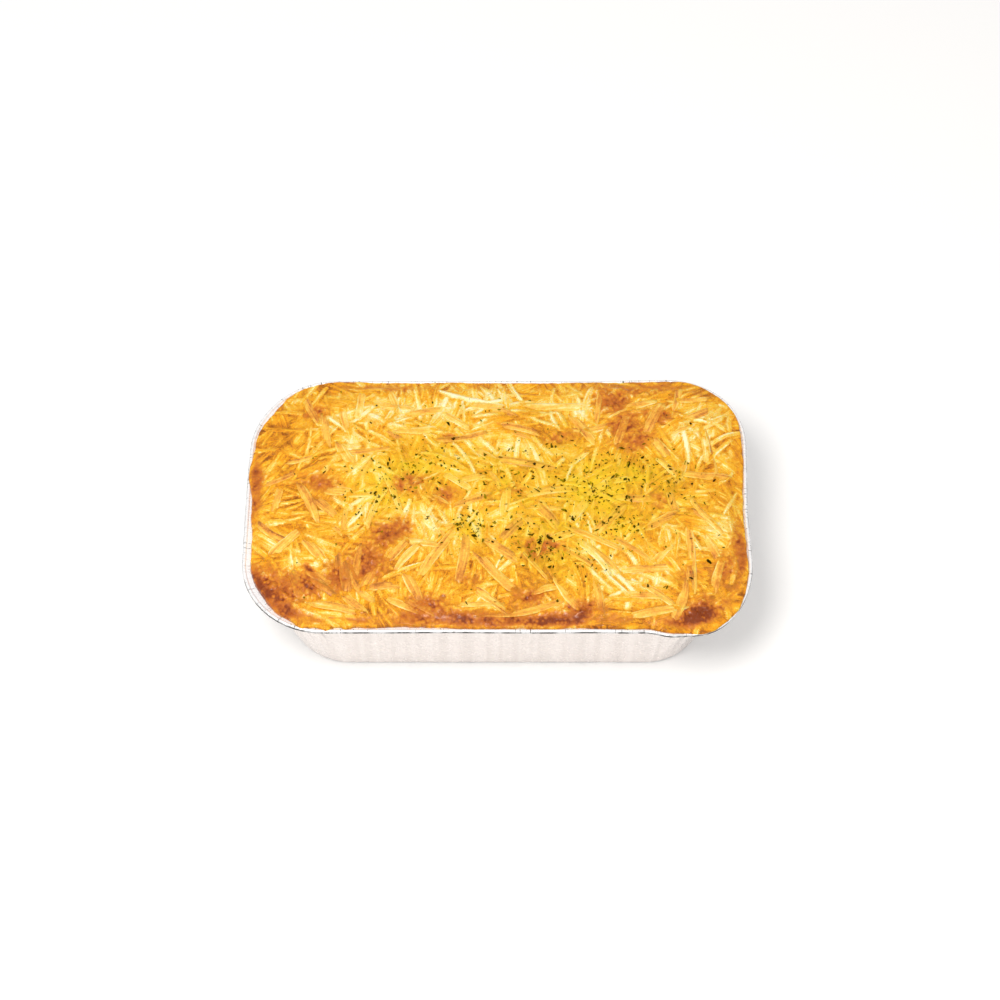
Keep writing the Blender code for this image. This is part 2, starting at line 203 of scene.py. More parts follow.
# Browned patches: x, y, reach along, reach across, heading of the reach along, and how dark
BROWN_PATCHES = (
    (-86, -43, 15, 9, -42, 0.74),
    (-75, -41, 9, 8, 0, 0.68),
    (-71.5, -37, 5.5, 1.2, -53, 1.2),
    (-50, -32, 10, 10, 0, 0.72),
    (-42, -18, 11, 7, 30, 0.72),
    (-62, -38, 9, 7, -30, 0.7),
    (-28, -52, 14, 7, 0, 0.68),
    (-4, -57, 18, 4, 0, 0.62),
    (22, -56, 28, 3.6, 2, 0.52),
    (13, -46, 10, 6, 0, 0.62),
    (33, -52, 10, 6, 20, 0.7),
    (78.5, -53, 9.5, 5.4, 8, 0.98),
    (79.5, -50.5, 12, 8, 8, 0.46),
    (88, -33, 5, 9, -15, 0.6),
    (74, -36, 7, 5, 30, 0.42),
    (46, 48, 10, 7, 0, 0.62),
    (51, 34, 8, 11, 0, 0.64),
    (66, 40, 9, 6, -20, 0.66),
    (58, 26, 9, 7, 0, 0.54),
    (-97, 10, 4, 9, 0, 0.75),
    (-97, -5, 4, 9, 0, 0.62),
    (-70, 6, 14, 8, -25, 0.56),
    (-73, 42, 8, 5, 20, 0.56),
    (-36, 5, 10, 8, 0, 0.56),
    (-20, 0, 7, 6, 0, 0.5),
    (18, -24, 11, 8, 0, 0.55),
    (5, 3, 8, 6, 0, 0.42),
    (-20, 28, 4.5, 3.5, 0, 0.62),
    (95, -22, 4, 11, 5, 0.6),
    (26, 29, 12, 6, 15, 0.44),
    (-46, 54, 20, 4, 0, 0.3),
    (58, 54, 16, 5, 0, 0.46),
    (-11, -39, 7, 5, 0, 0.46),
    (63, -3, 12, 7, 0, 0.38),
)
# The browned band along the rim: how far inside it lies, and how wide it is
BAND_INSIDE = 4.2
BAND_WIDTH = 2.6

# Small shreds aren't laid where the cheese is browner than this
TOO_BROWN = 0.55

# Places where the cheese is paler or more golden: x, y, reach along, reach across, and the change of tone
TONE_AMOUNT = 1.3
TONE_PATCHES = (
    (-31, -12, 11, 9, -0.14),
    (-54, -8, 9, 8, -0.1),
    (6, 24, 12, 8, -0.14),
    (-14, 47, 28, 8, -0.2),
    (-50, 40, 24, 9, -0.12),
    (62, 46, 22, 8, -0.1),
    (32, 47, 12, 6, -0.12),
    (72, 27, 9, 10, -0.12),
    (88, -16, 8, 9, -0.16),
    (62, -34, 16, 9, -0.08),
    (-8, -38, 9, 6, -0.1),
    (80, 12, 14, 8, 0.05),
    (25, 31, 12, 6, 0.14),
    (64, 8, 14, 6, 0.12),
    (-75, -8, 12, 14, 0.1),
    (45, -10, 16, 10, 0.12),
    (-85, 30, 12, 14, 0.12),
)

# Herb drifts: x, y, spread, and how many flecks for an amount of 1
HERB_AMOUNT = 1.35
HERB_SEED = 55
HERB_MARGIN = 7
FLECK_THICKNESS = 0.22
HERB_DRIFTS = (
    (41, 8, 8, 95),
    (61, 9, 8, 60),
    (25, 17, 9, 40),
    (18, -22, 8, 75),
    (9, -3, 9, 45),
    (-11, -15, 6, 50),
    (-47, 2, 9, 55),
    (-23, 17, 10, 50),
    (36, -3, 9, 60),
    (52, -12, 8, 45),
    (28, -31, 9, 30),
    (72, 2, 8, 25),
    (1, 12, 9, 45),
    (-39, 12, 9, 40),
    (-60, 27, 16, 14),
    (-7, 47, 14, 12),
    (79, -22, 14, 12),
    (10, 0, 45, 90),
    (-42, -1, 3, 22),
    (-10, -14, 3, 22),
    (17, -24, 3.5, 26),
    (26, 2, 4, 26),
    (49, -13, 3.5, 22),
    (56, 11, 4, 22),
)


def inset(outline, by):
    """A rounded rectangle drawn in by the same amount all round."""
    length, width, corner = outline
    return (length - 2 * by, width - 2 * by, corner - by)


def between(first, second, share):
    """The outline that lies a share of the way from the first to the second."""
    return tuple(a + (b - a) * share for a, b in zip(first, second))


def smooth_step(value):
    t = np.clip(value, 0, 1)
    return t * t * (3 - 2 * t)


def turned(x, y, angle):
    """Points turned about the upright axis, counterclockwise as seen from above."""
    return x * math.cos(angle) - y * math.sin(angle), x * math.sin(angle) + y * math.cos(angle)


def noise_at(x, y, z, pitch):
    """Smooth noise from -1 to 1 at each point, whose lumps are about a pitch across."""
    x, y, z = np.broadcast_arrays(x, y, z)
    points = zip((x / pitch).ravel(), (y / pitch).ravel(), (z / pitch).ravel())
    values = [noise.noise(Vector(point)) for point in points]
    return np.array(values).reshape(x.shape)


def depth_inside(outline, x, y):
    """How far points lie inside a rounded rectangle, less than 0 outside it."""
    length, width, corner = outline
    out_x = np.abs(x) - length / 2 + corner
    out_y = np.abs(y) - width / 2 + corner
    beyond = np.hypot(np.maximum(out_x, 0), np.maximum(out_y, 0))
    return corner - beyond - np.minimum(np.maximum(out_x, out_y), 0)


def outward(outline, x, y):
    """The unit direction that points straight out of a rounded rectangle at points on its border."""
    length, width, corner = outline
    over_x = x - np.clip(x, corner - length / 2, length / 2 - corner)
    over_y = y - np.clip(y, corner - width / 2, width / 2 - corner)
    size = np.maximum(np.hypot(over_x, over_y), 1e-9)
    return over_x / size, over_y / size


def grid_lines(index, corner_cells, straight_cells, length, corner):
    """Where grid lines lie along one side: corner cells at both ends, straight cells between them."""
    end = 2 * corner_cells + straight_cells
    marks = (0, corner_cells, corner_cells + straight_cells, end)
    places = (-length / 2, corner - length / 2, length / 2 - corner, length / 2)
    return np.interp(index, marks, places)


def on_outline_grid(column, row, cells, outline):
    """Where grid points lie in a rounded rectangle: each corner square is drawn in to a quarter disc."""
    length, width, corner = outline
    corner_cells, along, across = cells
    x = grid_lines(column, corner_cells, along, length, corner)
    y = grid_lines(row, corner_cells, across, width, corner)
    a = np.maximum(np.abs(x) - length / 2 + corner, 0) / corner
    b = np.maximum(np.abs(y) - width / 2 + corner, 0) / corner
    drawn_x = np.where(a > 0, np.sign(x) * (length / 2 - corner + corner * a * np.sqrt(1 - b * b / 2)), x)
    drawn_y = np.where(b > 0, np.sign(y) * (width / 2 - corner + corner * b * np.sqrt(1 - a * a / 2)), y)
    return drawn_x, drawn_y


def border_spots(count, cells):
    """The column and row of each point of the grid's border, counted round from one corner."""
    corner_cells, along, across = cells
    columns = 2 * corner_cells + along
    rows = 2 * corner_cells + across
    turns = (0, columns, columns + rows, 2 * columns + rows, 2 * columns + 2 * rows)
    column = np.interp(count, turns, (0, columns, columns, 0, 0))
    row = np.interp(count, turns, (0, 0, rows, rows, 0))
    return column, row


def border_length(cells):
    """How many points the grid's border has."""
    corner_cells, along, across = cells
    return 8 * corner_cells + 2 * along + 2 * across


def dented(x, y, z):
    """Points moved by the tray's knocks, which leave the base alone and carry the meal's edge with them."""
    rise = smooth_step(z / TRAY_HEIGHT - 0.25)
    lift = RIM_WAVE * noise_at(x, y, 0, RIM_WAVE_PITCH)
    moved_x = x
    moved_y = y
    for centre_x, centre_y, radius, height, push_x, push_y in DENTS:
        share = np.exp(-((x - centre_x) ** 2 + (y - centre_y) ** 2) / (2 * radius * radius))
        lift = lift + height * share
        moved_x = moved_x + push_x * share * rise
        moved_y = moved_y + push_y * share * rise
    return moved_x, moved_y, z + lift * rise


def grid_piece(bm, columns, rows, place):
    """Adds a grid to a bmesh and puts each of its points where place(column, row) says, in millimetres.

    Place also says what numbers the points carry, by name.
    """
    made = bmesh.ops.create_grid(bm, x_segments=columns, y_segments=rows, size=1)["verts"]
    column = np.round([(vert.co.x + 1) / 2 * columns for vert in made]).astype(int)
    row = np.round([(vert.co.y + 1) / 2 * rows for vert in made]).astype(int)
    x, y, z, carried = place(column, row)
    for vert, px, py, pz in zip(made, x, y, z):
        vert.co = (px * MM, py * MM, pz * MM)
    bm.verts.index_update()
    indices = [vert.index for vert in made]
    for name, values in carried.items():
        layer = bm.verts.layers.float.new(name)
        bm.verts.ensure_lookup_table()
        for index, value in zip(indices, values):
            bm.verts[index][layer] = value


def mesh_from(bm, name):
    """Turns a bmesh into a mesh."""
    mesh = bpy.data.meshes.new(name)
    bm.to_mesh(mesh)
    bm.free()
    return mesh


def closed_mesh(bm, name, smooth_ends=False):
    """Welds a bmesh, closes its open ends, turns its faces outwards and makes it a smooth-shaded mesh."""
    bmesh.ops.remove_doubles(bm, verts=bm.verts, dist=1e-6)
    open_edges = [edge for edge in bm.edges if edge.is_boundary]
    bmesh.ops.holes_fill(bm, edges=open_edges, sides=0)
    bmesh.ops.recalc_face_normals(bm, faces=bm.faces)
    for face in bm.faces:
        face.smooth = smooth_ends or len(face.verts) <= 4
    return mesh_from(bm, name)


def put_in_scene(name, data):
    """Makes an object of a mesh, a light or a camera."""
    obj = bpy.data.objects.new(name, data)
    bpy.context.scene.collection.objects.link(obj)
    return obj


def points_of(mesh, unit=MM):
    """The x, y and z of each vertex, in millimetres, or as they are if the unit is 1."""
    flat = np.empty(len(mesh.vertices) * 3, np.float32)
    mesh.vertices.foreach_get("co", flat)
    return flat.reshape(-1, 3).astype(float).T / unit


def paint(obj, name, values):
    """Writes a number or a vector per vertex as an attribute that a material reads."""
    values = np.asarray(values, np.float32)
    kind, field = ("FLOAT", "value") if values.ndim == 1 else ("FLOAT_VECTOR", "vector")
    layer = obj.data.attributes.new(name, kind, "POINT")
    layer.data.foreach_set(field, values.ravel())


def shaped_copies(name, pattern, places, marks):
    """One piece made of copies of a pattern: where each copy's points lie, and the numbers they carry."""
    bm = bmesh.new()
    for _ in places:
        bm.from_mesh(pattern)
    mesh = mesh_from(bm, name)
    mesh.vertices.foreach_set("co", (np.concatenate(places) * MM).astype(np.float32).ravel())
    mesh.update()
    obj = put_in_scene(name, mesh)
    for mark, values in marks.items():
        paint(obj, mark, np.concatenate(values))
    return obj


# The tray

def wall_step(share, thickness):
    """One step of the wall: of its outside, or of its inside if it is drawn in by the foil's thickness."""
    outline = between(BASE, inset(RIM, FLANGE + SHOULDER), share)
    height = share * (TRAY_HEIGHT - SHOULDER_DROP) + 0.4 * thickness
    strength = min(1, 8 * share) * min(1, 5 * (1.08 - share))
    return (inset(outline, thickness), height, share, strength)


def tray_section():
    """The foil's section, from the middle of the underside round the rolled edge to that of the floor.

    Each step is an outline, its height, how deep the corner pleats are, and how strong the flutes are.
    """
    top = TRAY_HEIGHT
    shoulder = top - SHOULDER_DROP
    lip = top - FLANGE_DROP
    middle = 0.5 * (FLANGE + ROLL)
    inner = FLANGE + FOIL
    # Distance in from the base's outline, and height
    underside = (
        (FOOT_WIDTH + 2, PANEL_LIFT),
        (FOOT_WIDTH + PANEL_LIFT, PANEL_LIFT),
        (FOOT_WIDTH, 0),
        (1.8, 0),
        (0.9, 0.25),
        (0.3, 0.8),
    )
    floor = (
        (1.2, 0.9),
        (2.0, FOIL),
        (FOOT_WIDTH, FOIL),
        (FOOT_WIDTH + PANEL_LIFT, PANEL_LIFT + FOIL),
        (FOOT_WIDTH + 2, PANEL_LIFT + FOIL),
    )
    # Distance in from the rim's outline, height, pleats and flutes
    under_flange = (
        (FLANGE + 0.75, shoulder + 0.35, 1, 0.3),
        (FLANGE + 0.2, top - NECK_DROP - 0.2, 1, 0.1),
        (FLANGE, top - NECK_DROP + 0.4, 1, 0.2),
        (FLANGE, top - 0.6 * NECK_DROP, 0.8, 0.3),
        (FLANGE, lip - FOIL - 0.7, 0.5, 0.2),
        (FLANGE - 0.3, lip - FOIL, 0.4, 0),
        (middle, lip - FOIL, 0.2, 0),
        (ROLL, lip - FOIL, 0, 0),
    )
    over_flange = (
        (ROLL + 0.15, lip + 0.1, 0, 0),
        (ROLL + 0.6, lip, 0, 0),
        (middle, lip, 0.2, 0),
        (inner - 0.2, lip, 0.4, 0),
        (inner, lip - 0.4, 0.5, 0.2),
        (inner, top - 0.6 * NECK_DROP, 0.8, 0.3),
        (inner, top - NECK_DROP + 0.4, 1, 0.2),
        (inner + 0.75, shoulder + 0.5, 1, 0.3),
    )
    radius = ROLL / 2
    rolled = []
    for turn in np.radians(np.linspace(-150, 160, 17)):
        rolled.append((radius - radius * math.cos(turn), top - radius + radius * math.sin(turn), 0, 0))
    shares = np.linspace(0.06, 1, 20)
    steps = [(inset(BASE, by), height, 0, 0) for by, height in underside]
    steps += [wall_step(share, 0) for share in shares]
    steps += [(inset(RIM, by), *rest) for by, *rest in (*under_flange, *rolled, *over_flange)]
    steps += [wall_step(share, FOIL) for share in shares[::-2]]
    steps += [(inset(BASE, by), height, 0, 0) for by, height in floor]
    return steps


def pleat_depth(column, row, cells):
    """How far the corner pleats draw the wall in: sharp folds, evenly spaced round each corner."""
    corner_cells, along, across = cells
    from_side = np.minimum(column, 2 * corner_cells + along - column)
    from_end = np.minimum(row, 2 * corner_cells + across - row)
    in_corner = (from_side < corner_cells) & (from_end < corner_cells)
    share = np.where(from_end == 0, corner_cells + from_side, corner_cells - from_end) / (2 * corner_cells)
    fold = 1 - np.abs(2 * (share * PLEATS_PER_CORNER % 1) - 1)
    return np.where(in_corner, fold, 0)


def foil_tray():
    """The pressed foil tray, with flutes along its walls, pleats at its corners and crimps on its rim."""
    outlines, heights, pleats, flutes = (np.array(part) for part in zip(*tray_section()))
    drawn_in = (RIM[0] - outlines[:, 0]) / 2
    rims = smooth_step((FLANGE + 0.8 - drawn_in) / 0.7)
    outside = np.arange(len(heights)) < np.argmax(heights)
    # Painted shade: a dark line on the lower side of the rolled edge and under the flange, standing in for
    # the shade and dark reflection there, and a grey line of painted shade along the foot of the wall
    under_shade = rims * outside * smooth_step((TRAY_HEIGHT - 0.12 * ROLL - heights) / 0.25)
    under_shade = under_shade + 0.45 * (drawn_in > FLANGE) * smooth_step((1.0 - heights) / 0.6)

    around = border_length(TRAY_CELLS)
    spots = border_spots(np.arange(around), TRAY_CELLS)
    rings = np.array([on_outline_grid(*spots, TRAY_CELLS, outline) for outline in outlines])
    neck_x, neck_y = on_outline_grid(*spots, TRAY_CELLS, inset(RIM, FLANGE))
    stride = np.hypot(np.diff(neck_x, append=neck_x[0]), np.diff(neck_y, append=neck_y[0]))
    walked = np.concatenate([[0], np.cumsum(stride)])[:around]
    ways_out = outward(RIM, neck_x, neck_y)
    every_fold = pleat_depth(*spots, TRAY_CELLS)

    def place(column, row):
        column = column % around
        x, y = rings[row, :, column].T
        z = heights[row]
        out_x, out_y = (part[column] for part in ways_out)
        fold = every_fold[column]
        # How far round the tray each point is, so that the flutes stand upright
        path = walked[column] + out_x * (y - neck_y[column]) - out_y * (x - neck_x[column])
        flute_size = 0.6 + 0.6 * noise_at(path, 0 * path, 11, 30)
        push = flutes[row] * FLUTE_DEPTH * flute_size * np.cos(2 * math.pi * path / FLUTE_PITCH)
        push = push - PLEAT * pleats[row] * fold
        sway = noise_at(x, y, z, 24) + 0.5 * noise_at(x, y, 2 * z, 7)
        push = push + CREASE * flutes[row] * sway
        crimp = np.abs(np.sin(math.pi * path / CRIMP_PITCH + 2 * noise_at(path, 0 * path, 3, 9)))
        z = z - rims[row] * CRIMP * (1 - crimp) ** 3 * (0.6 + 1.2 * (fold > 0))
        z = z + rims[row] * 0.1 * noise_at(x, y, 5, 5)
        carried = {"path": path, "rim": rims[row], "under": under_shade[row], "pleat": pleats[row] * fold}
        return *dented(x + out_x * push, y + out_y * push, z), carried

    bm = bmesh.new()
    grid_piece(bm, around, len(heights) - 1, place)
    return put_in_scene("tray_foil", closed_mesh(bm, "tray_foil"))


# The melted top, first as pictures of height, tone and browning seen from above

raster_x = np.arange(-RIM[0] / 2 - 1, RIM[0] / 2 + 1.01, RASTER_STEP)
raster_y = np.arange(-RIM[1] / 2 - 1, RIM[1] / 2 + 1.01, RASTER_STEP)
map_x, map_y = np.meshgrid(raster_x, raster_y)


def from_map(picture, x, y):
    """Reads a picture at points between its own."""
    across = np.clip((x - raster_x[0]) / RASTER_STEP, 0, len(raster_x) - 1.001)
    down = np.clip((y - raster_y[0]) / RASTER_STEP, 0, len(raster_y) - 1.001)
    column = across.astype(int)
    row = down.astype(int)
    right = across - column
    up = down - row
    low = picture[row, column] * (1 - right) + picture[row, column + 1] * right
    high = picture[row + 1, column] * (1 - right) + picture[row + 1, column + 1] * right
    return low * (1 - up) + high * up


def blurred(picture, reach):
    """A picture smoothed over a reach in millimetres, in three passes along each of its sides."""
    size = max(1, round(reach / RASTER_STEP))
    width = 2 * size + 1
    for _ in range(6):
        padded = np.pad(picture, ((size + 1, size), (0, 0)), "edge")
        total = np.cumsum(padded, axis=0)
        picture = ((total[width:] - total[:-width]) / width).T
    return picture


def map_noise(pitch, layer):
    """Noise over the whole map."""
    return noise_at(map_x, map_y, layer, pitch)


def melted_height():
    """The height of the melted top: a low crown, with lumps that fade out towards the rim."""
    depth = np.maximum(depth_inside(RIM, map_x, map_y) - SPILL_NEAREST, 0)
    crown = CROWN * (1 - np.exp(-depth / CROWN_RUN))
    lumps = LUMP * map_noise(LUMP_PITCH, 0)
    knobs = KNOB * map_noise(KNOB_PITCH, 50)
    fade = smooth_step(depth / LUMP_FADE)
    return TRAY_HEIGHT + EDGE_RISE + crown + (lumps + knobs) * fade


def window_of(x, y, reach):
    """The part of the map within a reach of a point."""
    column = round((x - raster_x[0]) / RASTER_STEP)
    row = round((y - raster_y[0]) / RASTER_STEP)
    cells = math.ceil(reach / RASTER_STEP)
    columns = slice(max(column - cells, 0), max(column + cells + 1, 0))
    rows = slice(max(row - cells, 0), max(row + cells + 1, 0))
    return rows, columns


def bow_of(shred):
    """How far a bent shred's middle lies off the line through its ends."""
    return shred.length * math.tan(math.radians(shred.bend) / 4) / 2


def on_shred(shred, share, along, across):
    """Where points that lie along and across a bent shred are, seen from above."""
    bow = bow_of(shred)
    slope = np.arctan2(-4 * share * bow, shred.length)
    ahead = along - across * np.sin(slope)
    aside = bow * (1 - share ** 2) + across * np.cos(slope)
    x, y = turned(ahead, aside, math.radians(shred.heading))
    return shred.x + x, shred.y + y


def shred_shape(shred, x, y, widen):
    """How far points lie along a shred and across it, both as a share of its half size there."""
    along, across = turned(x - shred.x, y - shred.y, -math.radians(shred.heading))
    share = along / (shred.length / 2)
    across = across - bow_of(shred) * (1 - share ** 2)
    half = (shred.width / 2 + widen) * (1 - 0.35 * np.minimum(np.abs(share), 1) ** 3)
    end = np.clip((shred.length / 2 + widen - np.abs(along)) / (0.6 * shred.width / 2 + widen), 0, 1)
    return share, across / half, end


def round_shreds(shreds, margin, widen=0.0):
    """Each shred with the part of the map round it, and how that part lies to it, as shred_shape says."""
    for shred in shreds:
        there = window_of(shred.x, shred.y, shred.length / 2 + margin)
        yield shred, there, *shred_shape(shred, map_x[there], map_y[there], widen)


def dome(across, end):
    """The rounded section of a melted shred, 1 along its middle and 0 at its edge."""
    side = np.clip(1 - across ** 2, 0, 1)
    return np.sqrt(side) * np.sqrt(end)


def fill_shreds():
    """The same shreds that the solid meal has between its long ones."""
    rng = random.Random(FILL_SEED)
    made = []
    taken = [(row[0], row[1]) for row in LONG_SHREDS]
    while len(made) < FILL_SHREDS:
        x = rng.uniform(-88, 88)
        y = rng.uniform(-49, 49)
        heading = rng.uniform(0, 180)
        length = rng.uniform(*FILL_LENGTH)
        width = rng.uniform(*FILL_WIDTH)
        bend = rng.uniform(-FILL_BEND, FILL_BEND)
        spacing = FILL_SPACING * (1 - len(made) / (2 * FILL_SHREDS))
        if any(math.hypot(x - a, y - b) < spacing * 0.8 for a, b in taken):
            continue
        taken.append((x, y))
        made.append((x, y, heading, length, width, bend))
    tones = random.Random(FILL_SEED + 1)
    return [Shred(*row, tones.uniform(0.15, 0.7)) for row in made]


def scattered_shreds(rng, spacing, length, width, tone, bend, margin, flow):
    """Shreds laid out evenly but not in rows, one to a square of a grid, roughly along a flow."""
    made = []
    half_x = RIM[0] / 2 - margin
    half_y = RIM[1] / 2 - margin
    for x in np.arange(-half_x, half_x, spacing):
        for y in np.arange(-half_y, half_y, spacing):
            px = x + rng.uniform(0, spacing)
            py = y + rng.uniform(0, spacing)
            size = rng.uniform(*length)
            heading = from_map(flow, np.array(px), np.array(py)) + rng.gauss(0, FLOW_SPREAD)
            row = (px, py, float(heading), size, rng.uniform(*width))
            row += (rng.uniform(-bend, bend), rng.uniform(*tone))
            if depth_inside(RIM, px, py) > margin:
                made.append(Shred(*row))
    rng.shuffle(made)
    return made


def most_under(picture, shred):
    """The highest value of a picture under the middle and both ends of a shred."""
    x, y = turned(np.array([-0.4, 0, 0.4]) * shred.length, 0, math.radians(shred.heading))
    return from_map(picture, shred.x + x, shred.y + y).max()


def blobs(patches):
    """A picture of soft ovals, as (each one's share, its last column) pairs."""
    for patch in patches:
        x, y, along, across = patch[:4]
        heading = patch[4] if len(patch) > 5 else 0
        u, v = turned(map_x - x, map_y - y, -math.radians(heading))
        yield np.exp(-((u / along) ** 2 + (v / across) ** 2)), patch[-1]


def browning_map(depth):
    """How browned the top is: the patches, and an uneven band along the rim."""
    brown = np.zeros_like(depth)
    for share, darkness in blobs(BROWN_PATCHES):
        blob = darkness * share
        brown = np.maximum(brown, blob) + 0.3 * np.minimum(brown, blob)
    band = np.exp(-((depth - BAND_INSIDE) / BAND_WIDTH) ** 2)
    front = smooth_step(0.5 - map_y / RIM[1])
    brown = brown * smooth_step((depth + 1.5) / 5) + band * (0.12 + 0.14 * front + 0.34 * map_noise(15, 30))
    uneven = 0.26 * map_noise(6.5, 60) + 0.2 * map_noise(2.4, 61)
    return np.clip(brown * (1 + 0.5 * uneven) + 0.5 * uneven * smooth_step(brown / 0.25), 0, 1.1)


BLISTERS = 5200


def blister_map(rng, brown):
    """Small bubbles and burst pits where the cheese is browned."""
    picture = np.zeros_like(brown)
    for _ in range(BLISTERS):
        x = rng.uniform(-97, 97)
        y = rng.uniform(-58, 58)
        radius = 0.5 + 1.1 * rng.random() ** 2
        pit = rng.random() < 0.35
        if from_map(brown, np.array(x), np.array(y)) < 0.36:
            continue
        there = window_of(x, y, radius + 0.5)
        away = np.hypot(map_x[there] - x, map_y[there] - y) / radius
        bubble = np.sqrt(np.clip(1 - away ** 2, 0, 1)) * radius * (-0.4 if pit else 0.5)
        picture[there] = np.where(np.abs(bubble) > np.abs(picture[there]), bubble, picture[there])
    return picture


# Melted strands, wide ones first: spacing, length, width, change of tone, bend, rise and level
MELTED_KINDS = (
    (6.4, (16, 38), (5.0, 10.0), (-0.08, 0.14), 24, (0.35, 0.8), (-0.45, -0.1)),
    (6.6, (12, 28), (2.4, 4.4), (-0.18, 0.2), 28, (0.25, 0.5), (-0.2, 0.1)),
    (8.0, (8, 20), (1.0, 2.0), (-0.24, 0.1), 36, (0.1, 0.25), (-0.1, 0.2)),
    (8.0, (9, 24), (1.5, 2.6), (-0.1, 0.26), 40, (0.45, 0.8), (0.0, 0.25)),
)
MELT_SEED = 21
# How much paler a strand's edge is, as a painted highlight, and how much more golden the cheese is where a
# shred lies on it, as painted contact shade
EDGE_HIGHLIGHT = 0.27
CONTACT_SHADE = 0.12


def melted_map(flow, brown, lying):
    """Height, tone, browning and the run of the grain over the melted top, as pictures."""
    rng = random.Random(MELT_SEED)
    depth = depth_inside(RIM, map_x, map_y)
    fade = smooth_step((depth - SPILL_FURTHEST) / 4)

    ground = 0.37 + 0.2 * map_noise(24, 70) + 0.18 * map_noise(9, 71)
    for share, change in blobs(TONE_PATCHES):
        ground = ground + TONE_AMOUNT * change * share
    tone = ground.copy()
    relief = 0.25 * map_noise(5, 72)
    grain = [map_x.copy(), map_y * 0.3, np.zeros_like(map_x)]
    for *kind, rises, levels in MELTED_KINDS:
        strands = scattered_shreds(rng, *kind, 3, flow)
        for shred, there, share, across, end in round_shreds(strands, 2):
            shape = dome(across, end)
            # The strand's paler edge is a painted highlight
            edge = smooth_step((np.abs(across) - 0.6) / 0.2) * (shape > 0)
            high = np.where(shape > 0, rng.uniform(*levels) + rng.uniform(*rises) * shape, -9)
            over = smooth_step((high - relief[there]) / 0.1 + 0.5) * (shape > 0)
            relief[there] = np.maximum(relief[there], high)
            streak = ground[there] + shred.tone - EDGE_HIGHLIGHT * edge
            tone[there] += (streak - tone[there]) * over * 0.85
            run = (share * shred.length / 2, across * shred.width / 2, rng.uniform(0, 900))
            for part, value in zip(grain, run):
                part[there] = np.where(over > 0.5, value, part[there])

    covered = np.zeros_like(tone)
    for _, there, _, across, end in round_shreds(lying, 3, 0.7):
        covered[there] = np.maximum(covered[there], smooth_step(dome(across, end) * 1.3))
    # Painted contact shade: the cheese darker and more golden round where shreds lie
    tone = tone + CONTACT_SHADE * covered

    cooked = smooth_step((brown - 0.25) / 0.4)
    relief = relief * (1 - 0.45 * cooked) + blister_map(rng, brown) * fade
    relief = relief + 0.3 * cooked * map_noise(2.4, 73)
    # Painted shade: hollows in the relief are painted more golden and, where cooked, more browned, and
    # ridges a little paler as a painted highlight
    hollow_shade = (blurred(relief, 0.9) - relief) * (1 - covered)
    relief = relief * (1 - 0.8 * covered)
    tone = tone + np.clip(hollow_shade * 1.6, -0.14, 0.5) + 0.4 * np.clip(brown, 0, 0.6)
    tone = tone + 0.22 * np.exp(-np.maximum(depth - 1.0, 0) / 2.5)
    brown = brown + np.clip(hollow_shade * 0.35, -0.08, 0.16) * cooked
    return melted_height() + relief * fade, tone, brown, grain


def dust_map():
    """Where fine herb dust tints the cheese."""
    dust = np.zeros_like(map_x)
    for x, y, spread, count in HERB_DRIFTS:
        if spread < 12:
            away = ((map_x - x) ** 2 + (map_y - y) ** 2) / (2 * spread * spread)
            dust = dust + count / 60 * np.exp(-away)
    return np.clip(dust * (0.75 + 0.5 * map_noise(4, 90)), 0, 1.3)


def skirted(height, shreds):
    """The melted top drawn up a little along the sides of the shreds that lie on it."""
    height = height.copy()
    for _, there, _, across, end in round_shreds(shreds, 3, 0.8):
        height[there] += np.clip(1 - across ** 2, 0, 1) * end * 0.3
    return height


def spill_inset(x, y):
    """How far inside the rim the meal's uneven edge stops."""
    inside = SPILL_USUAL + SPILL_WAVE * noise_at(x, y, 300, SPILL_PITCH) + 0.35 * noise_at(x, y, 40, 3.4)
    for spot_x, spot_y, reach, change in SPILL_SPOTS:
        inside = inside + change * np.exp(-((x - spot_x) ** 2 + (y - spot_y) ** 2) / reach ** 2)
    return np.clip(inside, SPILL_NEAREST, SPILL_FURTHEST)


